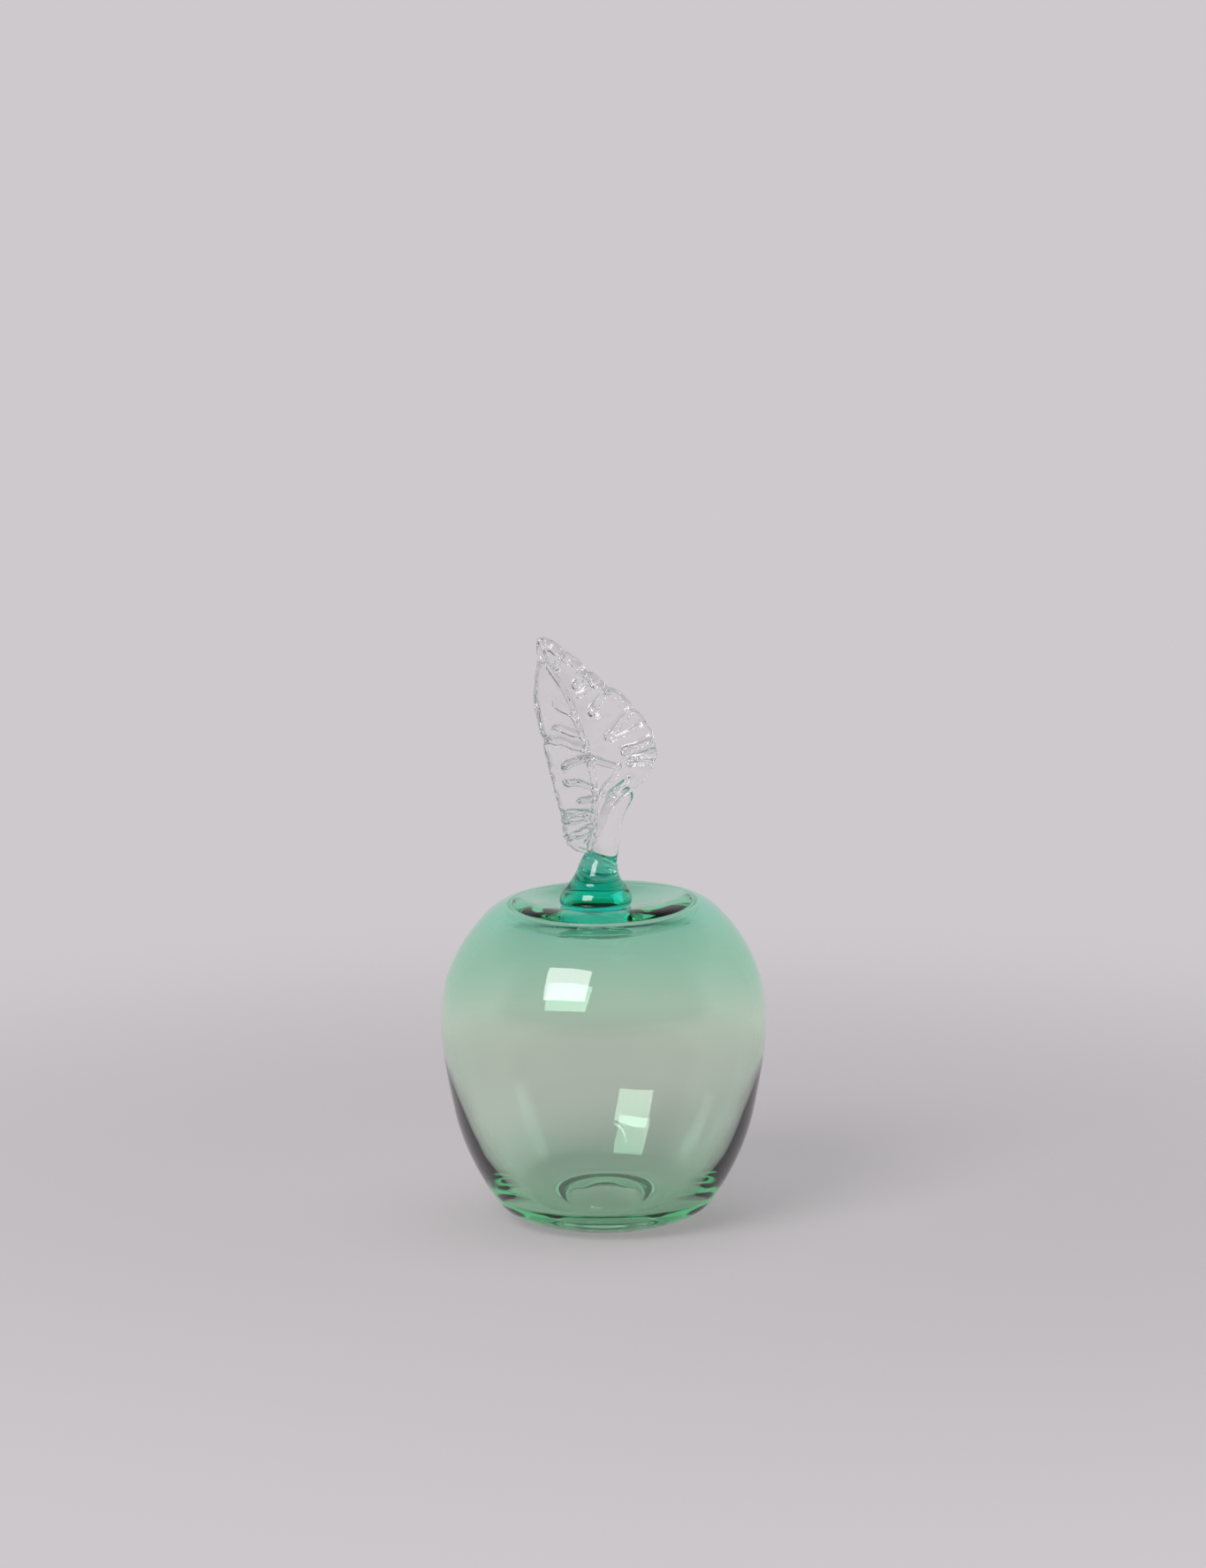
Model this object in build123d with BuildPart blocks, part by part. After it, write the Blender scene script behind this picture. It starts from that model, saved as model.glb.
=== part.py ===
from build123d import *
from math import cos, radians, sin
import os

# A blown glass apple with an emerald collar, a clear stem and a clear crimped leaf, in millimetres.
# The origin is the centre of the foot ring on the table, +Z is up, and -Y faces the viewer.

# Body: blown green shell with a ground foot ring, a kicked-up base and a dimpled top,
# whose thick ceiling hangs into the cavity round the neck bore
body_diameter = 114.4
body_height = 115.4
foot_ring_outer_diameter = 39.0
foot_ring_inner_diameter = 32.0
kick_up_height = 3.6
pontil_diameter = 16.8
pontil_depth = 1.2
floor_thickness = 4.8
floor_crown = 1.0
wall_at_heel = 5.0
wall_at_side = 3.4
wall_at_shoulder = 4.4
crest_diameter = 57.8
cavity_crest_diameter = 67.0
wall_at_crest = 6.4
dimple_depth = 3.4
dimple_seat_diameter = 31.0
neck_bore_diameter = 16.4
neck_length = 8.6
ceiling_flat_diameter = 24.0

# Collar: solid emerald bell that fills the neck bore and cups the foot of the stem
collar_height = 19.3
collar_foot_diameter = 23.6
collar_bead_diameter = 25.2
collar_top_diameter = 11.4
collar_offset = 2.4
lip_drop = 2.6
lip_tilt = 22.0

# Stem: clear rod, swollen and round at its foot, leaning to the right as it rises
stem_length = 30.0
stem_diameter = 9.2
socket_depth = 9.6

# Leaf: clear blade folded along its midrib and crimped along its veins
leaf_length = 76.8
leaf_width = 41.6
midrib_diameter = 4.6
blade_thickness = 2.4
crimp_swell = 0.9
crimp_wave = 1.1
scallop_depth = 0.7
crimp_reach = 14.0
fuse_depth = 1.1
leaf_stem_clearance = 0.6

# Sizes that follow
body_radius = body_diameter / 2
crest_radius = crest_diameter / 2
seat_radius = dimple_seat_diameter / 2
seat_height = body_height - dimple_depth
neck_radius = neck_bore_diameter / 2
floor_height = kick_up_height + pontil_depth + floor_thickness
cavity_crest_radius = cavity_crest_diameter / 2
ceiling_height = seat_height - neck_length
collar_top_height = seat_height + collar_height

# Outer outline of the body from heel to shoulder: across as shares of its radius, up of its height
outline_shares = [
    (0.480, 0.013),
    (0.614, 0.043),
    (0.690, 0.087),
    (0.794, 0.173),
    (0.871, 0.260),
    (0.921, 0.347),
    (0.984, 0.520),
    (1.000, 0.618),
    (0.944, 0.780),
    (0.851, 0.867),
    (0.708, 0.953),
    (0.600, 0.988),
]
heel_slope_share = 0.08
# Ceiling between its flat middle and the cavity's crest: shares of the way across and up
ceiling_shares = [(0.38, 0.33), (0.70, 0.74)]
# Where the inner wall is set off from the outer outline, from heel to shoulder
heel_place_share, lower_place_share, side_place_share = 0.27, 0.42, 0.58
upper_place_share, shoulder_place_share = 0.72, 0.86
floor_flat_share = 0.42
kick_up_bow_share = 0.62
neck_offset_share = 0.6
even_pull = (1, 1)


def inner_point(outer, place_share, wall):
    """The point one wall's thickness inside the outer outline."""
    along = outer % place_share
    return outer @ place_share + Vector(-along.Y, along.X) * wall


with BuildPart() as apple_body:
    with BuildSketch(Plane.XZ) as wall_section:
        with BuildLine():
            crown = Vector(pontil_diameter / 2, kick_up_height)
            ring_inside = Vector(foot_ring_inner_diameter / 2, 0)
            dish = Spline(
                (0, kick_up_height + pontil_depth), crown, tangents=((1, 0), (1, -1))
            )
            bow = Vector(
                (crown.X + ring_inside.X) / 2, kick_up_bow_share * kick_up_height
            )
            kick_up = ThreePointArc(crown, bow, ring_inside)
            foot_ring = Line(kick_up @ 1, (foot_ring_outer_diameter / 2, 0))
            outer = Spline(
                foot_ring @ 1,
                *[(x * body_radius, z * body_height) for x, z in outline_shares],
                (crest_radius, body_height),
                tangents=((1, heel_slope_share), (-1, 0)),
                tangent_scalars=even_pull,
            )
            dimple = Spline(
                outer @ 1, (seat_radius, seat_height), tangents=((-1, 0), (-1, 0))
            )
            seat = Line(dimple @ 1, (0, seat_height))
            middle = Line(seat @ 1, (0, ceiling_height))
            flat = Line(middle @ 1, (ceiling_flat_diameter / 2, ceiling_height))
            cavity_crest = Vector(cavity_crest_radius, body_height - wall_at_crest)
            rise = cavity_crest - flat @ 1
            ceiling = Spline(
                flat @ 1,
                *[flat @ 1 + Vector(x * rise.X, z * rise.Y) for x, z in ceiling_shares],
                cavity_crest,
                tangents=((1, 0), (1, 0)),
                tangent_scalars=even_pull,
            )
            inner = Spline(
                ceiling @ 1,
                inner_point(outer, shoulder_place_share, wall_at_shoulder),
                inner_point(outer, upper_place_share, wall_at_shoulder),
                inner_point(outer, side_place_share, wall_at_side),
                inner_point(outer, lower_place_share, wall_at_side),
                inner_point(outer, heel_place_share, wall_at_heel),
                (floor_flat_share * body_radius, floor_height - floor_crown),
                (0, floor_height),
                tangents=((1, 0), (-1, 0)),
                tangent_scalars=even_pull,
            )
            Line(inner @ 1, dish @ 0)
        make_face()
    revolve(axis=Axis.Z)
    with BuildSketch(Plane.XY.offset(seat_height)) as neck_bore:
        with Locations((-neck_offset_share * collar_offset, 0)):
            Circle(neck_radius)
    extrude(amount=-neck_length, mode=Mode.SUBTRACT)
apple_body.part.label = "apple_body"

# Stem rings from the foot in the collar to the free end: across and up the length, then girth
stem_ring_shares = [
    (0.000, 0.000, 0.34),
    (0.003, 0.030, 0.90),
    (0.022, 0.100, 1.20),
    (0.050, 0.200, 1.20),
    (0.090, 0.320, 1.06),
    (0.118, 0.480, 1.01),
    (0.150, 0.660, 1.00),
    (0.212, 0.830, 0.99),
    (0.298, 0.940, 0.98),
]
end_round_angles = [28, 54, 78]
stem_foot_shift_share = 0.55
stem_foot = Vector(
    -stem_foot_shift_share * collar_offset, 0, collar_top_height - socket_depth
)
stem_points = [
    stem_foot + Vector(x * stem_length, 0, z * stem_length) for x, z, girth in stem_ring_shares
]

with BuildLine() as stem_path:
    stem_line = Spline(*stem_points)

with BuildPart() as stem:
    for point, (x, z, girth) in zip(stem_points, stem_ring_shares):
        along = stem_line.tangent_at(stem_line.param_at_point(point))
        with BuildSketch(Plane(origin=point, x_dir=(0, 1, 0), z_dir=along)):
            Circle(girth * stem_diameter / 2)
    end_radius = girth * stem_diameter / 2
    for angle in end_round_angles:
        centre = point + along * end_radius * sin(radians(angle))
        with BuildSketch(Plane(origin=centre, x_dir=(0, 1, 0), z_dir=along)):
            Circle(end_radius * cos(radians(angle)))
    loft()
stem.part.label = "stem"

# Collar rings from foot to top: height and shift off the axis, then the diameters
collar_ring_shares = [
    (0.000, 1.00),
    (0.093, 0.95),
    (0.233, 0.90),
    (0.332, 0.87),
    (0.430, 0.83),
    (0.523, 0.79),
    (0.632, 0.65),
    (0.772, 0.45),
    (1.000, -0.10),
]
collar_waist_shares = [0.948, 0.857, 0.742, 0.647, 0.579, 0.526]
collar_diameters = [
    collar_foot_diameter,
    collar_bead_diameter,
    *[share * collar_bead_diameter for share in collar_waist_shares],
    collar_top_diameter,
]

with BuildPart() as stem_collar:
    for (rise, shift), diameter in zip(collar_ring_shares, collar_diameters):
        with BuildSketch(Plane.XY.offset(seat_height + rise * collar_height)):
            with Locations((-shift * collar_offset, 0)):
                Circle(diameter / 2)
    loft()
    lip = Plane(
        origin=(0, 0, collar_top_height - lip_drop),
        z_dir=Vector(0, 0, 1).rotate(Axis.Y, lip_tilt),
    )
    split(bisect_by=lip, keep=Keep.BOTTOM)
    add(stem.part, mode=Mode.SUBTRACT)
    add(neck_bore.sketch)
    extrude(amount=-neck_length)
stem_collar.part.label = "stem_collar"

# The leaf's foot is fused to the left of the stem, and the midrib passes in front of it
leaf_foot_turn = 202.0
leaf_foot_place_share = 0.345
leaf_foot = stem_line @ leaf_foot_place_share + Vector(
    stem_diameter / 2 + midrib_diameter / 2 - fuse_depth, 0, 0
).rotate(Axis.Z, leaf_foot_turn)
leaf_forward = stem_diameter / 2 + blade_thickness + leaf_stem_clearance + leaf_foot.Y

# Midrib from foot to tip: across the leaf's width, up its length, and forward
midrib_shares = [
    (0.000, 0.000, 0.00),
    (0.030, 0.106, 0.35),
    (0.040, 0.210, 0.80),
    (0.036, 0.320, 1.05),
    (-0.020, 0.450, 1.10),
    (-0.076, 0.570, 1.00),
    (-0.155, 0.682, 0.80),
    (-0.263, 0.796, 0.50),
    (-0.346, 0.862, 0.25),
    (-0.380, 0.925, 0.05),
    (-0.395, 1.000, 0.00),
]
# Crimp rows from foot to tip: the place on the midrib, then the right and the left margin,
# each across the leaf's width and up its length
crimp_row_shares = [
    (0.000, (0.060, 0.015), (-0.070, 0.000)),
    (0.050, (0.092, 0.064), (-0.130, 0.040)),
    (0.100, (0.120, 0.112), (-0.180, 0.086)),
    (0.160, (0.160, 0.170), (-0.214, 0.138)),
    (0.225, (0.250, 0.232), (-0.237, 0.213)),
    (0.300, (0.385, 0.303), (-0.262, 0.298)),
    (0.375, (0.515, 0.390), (-0.296, 0.380)),
    (0.450, (0.570, 0.480), (-0.330, 0.463)),
    (0.525, (0.522, 0.566), (-0.368, 0.548)),
    (0.600, (0.425, 0.650), (-0.402, 0.628)),
    (0.675, (0.290, 0.727), (-0.427, 0.708)),
    (0.750, (0.120, 0.790), (-0.431, 0.785)),
    (0.820, (-0.020, 0.852), (-0.422, 0.848)),
    (0.880, (-0.130, 0.908), (-0.412, 0.893)),
    (0.935, (-0.245, 0.955), (-0.420, 0.938)),
    (0.980, (-0.345, 0.985), (-0.425, 0.978)),
]
right_fold_share = 0.12
left_fold_share = 1.0
rim_round_share = 0.45
rib_reach_share = 0.40
tip_taper_share = 0.45


def margin_from(root, place_shares, fold_share, crimp):
    """From the midrib to the margin, folded forward and pushed in or out by the crimp."""
    across, up = place_shares
    outward = leaf_foot + Vector(across * leaf_width, 0, up * leaf_length) - root
    outward.Y = -fold_share * abs(outward.X)
    strength = crimp * min(1, outward.length / crimp_reach) ** 2
    forward = Vector(-outward.Z, 0, outward.X).cross(outward).normalized()
    push = outward.normalized() * scallop_depth + forward * crimp_wave
    return outward + push * strength, strength


with BuildLine() as midrib_path:
    midrib = Spline(
        *[
            leaf_foot + Vector(x * leaf_width, -y * leaf_forward, z * leaf_length)
            for x, z, y in midrib_shares
        ]
    )

with BuildPart() as leaf:
    for number, (place, right_place, left_place) in enumerate(crimp_row_shares):
        root = midrib @ place
        crimp = 1 if number % 2 else -1
        right_arm, right_crimp = margin_from(root, right_place, right_fold_share, crimp)
        left_arm, left_crimp = margin_from(root, left_place, left_fold_share, crimp)
        slimness = 1 - tip_taper_share * place
        thin = slimness * blade_thickness / 2
        rib = slimness * midrib_diameter / 2
        open_angle = right_arm.get_angle(left_arm)
        row_plane = Plane(origin=root, x_dir=right_arm, z_dir=right_arm.cross(left_arm))
        inward = Vector(1, 0).rotate(Axis.Z, open_angle / 2)
        with BuildSketch(row_plane):
            with BuildLine():
                rims = []
                for arm, turn, strength, side in (
                    (right_arm, 0, right_crimp, -1),
                    (left_arm, open_angle, left_crimp, 1),
                ):
                    reach = arm.length
                    rim = thin + slimness * strength * crimp_swell / 2
                    start = reach - min(rim, rim_round_share * reach)
                    along = Vector(1, 0).rotate(Axis.Z, turn)
                    behind = Vector(0, side).rotate(Axis.Z, turn)
                    arc = ThreePointArc(
                        along * start + behind * rim,
                        along * reach,
                        along * start - behind * rim,
                    )
                    shoulder = along * min(rib, rib_reach_share * reach) + behind * thin
                    Line(shoulder, arc @ 0)
                    rims.append((arc, shoulder))
                crease = inward * (thin / sin(radians(open_angle / 2)))
                Line(rims[0][0] @ 1, crease)
                Line(crease, rims[1][0] @ 1)
                ThreePointArc(rims[0][1], inward * -rib, rims[1][1])
            make_face()
    loft()
    add(stem.part, mode=Mode.SUBTRACT)
    add(stem_collar.part, mode=Mode.SUBTRACT)
leaf.part.label = "leaf"

os.makedirs("parts", exist_ok=True)
export_step(apple_body.part, "parts/apple_body.step")
export_step(stem_collar.part, "parts/stem_collar.step")
export_step(stem.part, "parts/stem.step")
export_step(leaf.part, "parts/leaf.step")
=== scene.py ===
from functools import cache
from math import atan2, cos, exp, hypot, pi, radians, sin, sqrt, tau

import bmesh
import bpy
from bpy.props import FloatProperty, FloatVectorProperty, IntProperty, PointerProperty
from mathutils import Matrix, Vector, noise


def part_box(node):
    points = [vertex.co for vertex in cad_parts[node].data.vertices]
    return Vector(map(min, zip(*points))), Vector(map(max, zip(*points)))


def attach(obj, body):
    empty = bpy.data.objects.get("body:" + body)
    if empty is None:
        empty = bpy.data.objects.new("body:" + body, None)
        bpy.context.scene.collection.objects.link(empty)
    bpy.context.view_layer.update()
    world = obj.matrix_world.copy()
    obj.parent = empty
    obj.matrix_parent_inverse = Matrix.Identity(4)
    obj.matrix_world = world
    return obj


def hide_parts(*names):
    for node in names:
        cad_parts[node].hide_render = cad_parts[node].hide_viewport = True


bl_info = {
    "name": "Blown Glass Apple",
    "version": (1, 0, 0),
    "blender": (4, 5, 0),
    "location": "View3D > Sidebar > Glass Apple",
    "description": "Dresses the packed glass apple: blown body, emerald collar, clear stem and crimped leaf",
    "category": "Add Mesh",
}

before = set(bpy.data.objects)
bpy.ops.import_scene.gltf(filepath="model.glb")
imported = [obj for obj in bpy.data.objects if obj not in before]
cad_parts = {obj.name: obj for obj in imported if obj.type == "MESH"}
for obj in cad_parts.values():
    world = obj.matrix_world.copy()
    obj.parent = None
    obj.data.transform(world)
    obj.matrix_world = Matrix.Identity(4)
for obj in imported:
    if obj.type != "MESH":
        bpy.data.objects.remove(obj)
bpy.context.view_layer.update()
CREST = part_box("apple_body")[1].z  # top of the body's rim, where its heights are measured from

MM = 0.001
BITE = 0.03 * MM  # how far a gather bites into the one it is fused to, so that light crosses the seam
WELD = 0.002 * MM  # points nearer than this are one


def linear(hex_text):
    """An sRGB hex colour as the linear RGBA that the shaders take."""
    channels = [int(hex_text[k : k + 2], 16) / 255 for k in (1, 3, 5)]
    return (*[c / 12.92 if c <= 0.04045 else ((c + 0.055) / 1.055) ** 2.4 for c in channels], 1.0)


class BodySizes(bpy.types.PropertyGroup):
    radius: FloatProperty(name="Radius", description="Widest radius", unit="LENGTH", default=57.2 * MM)
    floor: FloatProperty(
        name="Floor", description="Height of the cavity's floor at the heel", unit="LENGTH", default=8.4 * MM
    )
    heel: FloatProperty(name="Heel", description="Wall at the heel", unit="LENGTH", default=5.0 * MM)
    belly: FloatProperty(name="Belly", description="Wall at the belly", unit="LENGTH", default=3.4 * MM)
    top: FloatProperty(name="Top", description="Wall round the dimple", unit="LENGTH", default=6.2 * MM)
    sway: FloatProperty(
        name="Sway", description="How far the blown form is out of round", unit="LENGTH", default=0.35 * MM
    )
    steps: IntProperty(name="Steps", description="Steps of the spin round the axis", default=192, min=24)


class CollarSizes(bpy.types.PropertyGroup):
    lip_rise: FloatProperty(
        name="Lip rise", description="Middle of the lip above the seat", unit="LENGTH", default=16.6 * MM
    )
    lip_slant: FloatProperty(
        name="Lip slant", description="How far the lip climbs to the left", unit="LENGTH", default=2.6 * MM
    )


class StemSizes(bpy.types.PropertyGroup):
    diameter: FloatProperty(name="Diameter", description="Of the drawn rod", unit="LENGTH", default=9.2 * MM)


class LeafSizes(bpy.types.PropertyGroup):
    blade: FloatProperty(
        name="Blade", description="Thickness between the veins", unit="LENGTH", default=2.4 * MM
    )
    rim: FloatProperty(
        name="Rim", description="Thickness of the rolled rim", unit="LENGTH", default=2.8 * MM
    )
    midrib: FloatProperty(
        name="Midrib", description="Thickness at the midrib", unit="LENGTH", default=4.8 * MM
    )
    vein: FloatProperty(
        name="Vein", description="Height of a pinched vein", unit="LENGTH", default=2.0 * MM
    )
    wave: FloatProperty(
        name="Wave", description="How far the veins push the margin", unit="LENGTH", default=1.0 * MM
    )


class GlassColours(bpy.types.PropertyGroup):
    green: FloatVectorProperty(
        name="Green", description="What the body's glass lets through", subtype="COLOR", size=4,
        min=0, max=1, default=linear("#9CF8D8"),
    )
    emerald: FloatVectorProperty(
        name="Emerald", description="What the collar's glass lets through", subtype="COLOR", size=4,
        min=0, max=1, default=linear("#4FF7F2"),
    )
    clear: FloatVectorProperty(
        name="Clear", description="What the stem and the leaf let through", subtype="COLOR", size=4,
        min=0, max=1, default=linear("#F2F6F4"),
    )


def read_table(rows, place):
    """The numbers at a place of a table, on a smooth line through its rows; a row starts with its place."""
    last = len(rows) - 1
    place = min(max(place, rows[0][0]), rows[last][0])
    low = max(k for k in range(last) if rows[k][0] <= place)
    span = rows[low + 1][0] - rows[low][0]
    t = (place - rows[low][0]) / span
    values = []
    for column in range(1, len(rows[0])):
        slopes = []
        for k in (low, low + 1):
            before, after = rows[max(k - 1, 0)], rows[min(k + 1, last)]
            slopes.append((after[column] - before[column]) / (after[0] - before[0]))
        start, end = rows[low][column], rows[low + 1][column]
        values.append(
            (2 * t**3 - 3 * t**2 + 1) * start
            + (t**3 - 2 * t**2 + t) * span * slopes[0]
            + (3 * t**2 - 2 * t**3) * end
            + (t**3 - t**2) * span * slopes[1]
        )
    return values


def line_through(points, count):
    """Evenly spread points on a smooth line through a few points."""
    rows = [(0.0, *points[0])]
    for before, point in zip(points, points[1:]):
        rows.append((rows[-1][0] + (Vector(point) - Vector(before)).length, *point))
    return [Vector(read_table(rows, rows[-1][0] * k / count)) for k in range(count + 1)]


def step_up(value, low, high):
    """0 below low, 1 above high, and a smooth step between them."""
    t = min(max((value - low) / (high - low), 0), 1)
    return t * t * (3 - 2 * t)


def loft(rings, segments, place):
    """A closed skin through rings of points that place(ring, turn) gives; both ends close in a pole."""
    bm = bmesh.new()
    ring = bmesh.ops.create_circle(bm, segments=segments, radius=1)["verts"]
    first = ring
    edges = list(bm.edges)
    for number, row in enumerate(rings):
        if number:
            grown = bmesh.ops.extrude_edge_only(bm, edges=edges)["geom"]
            ring = [v for v in grown if isinstance(v, bmesh.types.BMVert)]
            new = set(ring)
            edges = [e for e in grown if isinstance(e, bmesh.types.BMEdge) and new.issuperset(e.verts)]
        for k, vert in enumerate(ring):
            vert.co = place(row, tau * k / segments)
    for end in (first, ring):
        centre = sum((v.co for v in end), Vector()) / segments
        bmesh.ops.pointmerge(bm, verts=end, merge_co=centre)
    bmesh.ops.recalc_face_normals(bm, faces=bm.faces)
    return bm


def finish_piece(bm, name, material, node):
    """Turns a bmesh into a smooth piece that rides on the root body and stands for its CAD node."""
    mesh = bpy.data.meshes.new(name)
    bm.to_mesh(mesh)
    bm.free()
    mesh.materials.append(material)
    mesh.shade_smooth()
    piece = bpy.data.objects.new(name, mesh)
    bpy.context.scene.collection.objects.link(piece)
    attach(piece, "root")
    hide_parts(node)


def add_node(tree, kind, values=(), links=(), **settings):
    """Adds a shader node with its settings, plain values and links."""
    node = tree.nodes.new(kind)
    for name, value in settings.items():
        setattr(node, name, value)
    for socket, value in dict(values).items():
        node.inputs[socket].default_value = value
    for socket, source in dict(links).items():
        tree.links.new(source, node.inputs[socket])
    return node


MIX_SHARE, MIX_A, MIX_B, MIX_RESULT = 0, 6, 7, 2  # sockets of a Mix node that mixes colours


def start_material(name):
    """An empty material and its output node."""
    material = bpy.data.materials.new(name)
    material.use_nodes = True
    material.node_tree.nodes.clear()
    return material, add_node(material.node_tree, "ShaderNodeOutputMaterial")


SODA_IOR = 1.52
# How densely each glass is dyed, per metre
# The leaf's clear glass is dyed far more densely than the stem's, partly as painted shade that darkens the
# lines where its veins bend light
BODY_DENSITY, COLLAR_DENSITY, STEM_DENSITY, LEAF_DENSITY = 30.0, 180.0, 3.0, 50.0
# Ripples that the hand leaves in each glass: their length and their height in millimetres
BODY_RIPPLE, COLLAR_RIPPLE, STEM_RIPPLE, LEAF_RIPPLE = (16.0, 0.03), (9.0, 0.015), (12.0, 0.015), (5.0, 0.03)
# Thin green skin of the body from foot to crest: share of the height, and what it lets through
# The darker green at the foot is partly the skin's own colour and partly painted shade, standing in for the
# dark support seen through the base
SKIN_TINT = [(0.0, "#C4E6C8"), (0.3, "#FAFDF1"), (0.6, "#F0F9E6"), (0.84, "#C3F4D8"), (1.0, "#BEF8E7")]
SKIN = "skin"  # attribute: 1 where the glass carries that skin, 0 inside


def glass(name, dye, density, ripple_mm, skin_tint=None):
    """Fire-polished glass: mirror smooth, dyed through its depth, with the slow ripples of hand work."""
    length, height = ripple_mm
    material, output = start_material(name)
    tree = material.node_tree
    place = add_node(tree, "ShaderNodeTexCoord")
    ripple = add_node(
        tree, "ShaderNodeTexNoise", {"Scale": 1 / (length * MM), "Detail": 1.0, "Roughness": 0.4},
        {"Vector": place.outputs["Object"]},
    )
    bump = add_node(
        tree, "ShaderNodeBump", {"Strength": 1.0, "Distance": height * MM}, {"Height": ripple.outputs["Fac"]}
    )
    shader = add_node(
        tree, "ShaderNodeBsdfPrincipled",
        {"Base Color": (1, 1, 1, 1), "Roughness": 0.0, "IOR": SODA_IOR, "Transmission Weight": 1.0},
        {"Normal": bump.outputs["Normal"]},
    )
    if skin_tint:
        skin = add_node(tree, "ShaderNodeAttribute", attribute_name=SKIN)
        axes = add_node(tree, "ShaderNodeSeparateXYZ", {}, {"Vector": place.outputs["Object"]})
        share = add_node(
            tree, "ShaderNodeMapRange", {"From Min": 0.0, "From Max": CREST}, {"Value": axes.outputs["Z"]}
        )
        ramp = add_node(tree, "ShaderNodeValToRGB", {}, {"Fac": share.outputs["Result"]})
        ramp.color_ramp.interpolation = "EASE"
        stops = ramp.color_ramp.elements
        while len(stops) < len(skin_tint):
            stops.new(0.5)
        for stop, (position, colour) in zip(stops, skin_tint):
            stop.position = position
            stop.color = linear(colour)
        tint = add_node(
            tree, "ShaderNodeMix", {MIX_A: (1, 1, 1, 1)},
            {MIX_SHARE: skin.outputs["Fac"], MIX_B: ramp.outputs["Color"]}, data_type="RGBA",
        )
        tree.links.new(tint.outputs[MIX_RESULT], shader.inputs["Base Color"])
    depth = add_node(tree, "ShaderNodeVolumeAbsorption", {"Color": tuple(dye), "Density": density})
    tree.links.new(shader.outputs["BSDF"], output.inputs["Surface"])
    tree.links.new(depth.outputs["Volume"], output.inputs["Volume"])
    return material


# Body's outer outline from the foot ring to the seat in the dimple: shares of its radius and its height
OUTLINE_SHARES = [
    (0.341, 0.000),
    (0.372, 0.001),
    (0.480, 0.013),
    (0.614, 0.043),
    (0.690, 0.087),
    (0.794, 0.173),
    (0.871, 0.260),
    (0.921, 0.347),
    (0.984, 0.520),
    (1.000, 0.618),
    (0.988, 0.702),
    (0.944, 0.780),
    (0.851, 0.867),
    (0.708, 0.953),
    (0.600, 0.987),
    (0.505, 0.998),
    (0.430, 0.996),
    (0.350, 0.985),
    (0.288, 0.976),
    (0.254, 0.971),
]
# Kick-up from the pontil mark to the foot ring: radius and height in millimetres
PONTIL_ROWS = [(0.0, 4.8), (4.6, 4.5), (8.4, 3.6)]
ARCH_ROWS = [(8.4, 3.6), (12.4, 2.6), (15.2, 1.0), (16.0, 0.0)]
SEAT = CREST - 3.4 * MM  # height of the flat seat that the collar is fused to
SEAT_RADIUS, SEAT_SHIFT = 11.6 * MM, -2.4 * MM
SEAT_RADII = [14.0, 12.6, 11.6, 10.4, 9.2, 8.2]  # rings of the seat, in millimetres
BORE_RADIUS, BORE_SHIFT = 8.2 * MM, -1.4 * MM
DIMPLE_RADIUS = 29 * MM  # beyond it the dimple isn't drawn aside
# The thick ceiling that hangs into the cavity, from the neck bore outwards: radius and height in millimetres
CEILING_ROWS = [(8.2, 103.8), (12.0, 104.3), (16.0, 105.3), (20.0, 106.4), (26.0, 108.0), (31.0, 109.2)]
CEILING_HEIGHT = CEILING_ROWS[0][1] * MM
FLOOR_RISE = (0.8 * MM, 1.2 * MM)  # of the cavity's floor, half way in and in the middle
BORE_SHARES = (0.35, 0.7)  # of the way down the neck bore, where it has a ring
DISH_STEPS, ARCH_STEPS, OUTER_STEPS, CEILING_STEPS, FLOOR_STEPS = 8, 12, 130, 36, 14
# The cavity's wall follows every second step of the outside, but for the last few at its two ends
INNER_STEP, CREST_SKIP, FOOT_SKIP = 2, 4, 2
DIMPLE_SHARES = (0.85, 0.9)  # of the body's height, between which the dimple's shift comes in
OVAL_TURN, OVAL_RADII = 0.8, (20 * MM, 50 * MM)  # turn of the belly's oval in radians, and where it comes in
RIM_TILT, TILT_RADII = 0.012, (14 * MM, 30 * MM)  # slope of the rim up to the right, and where it comes in
TILT_SHARES = (0.5, 1.0)  # of the body's height, where that slope comes in


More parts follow.
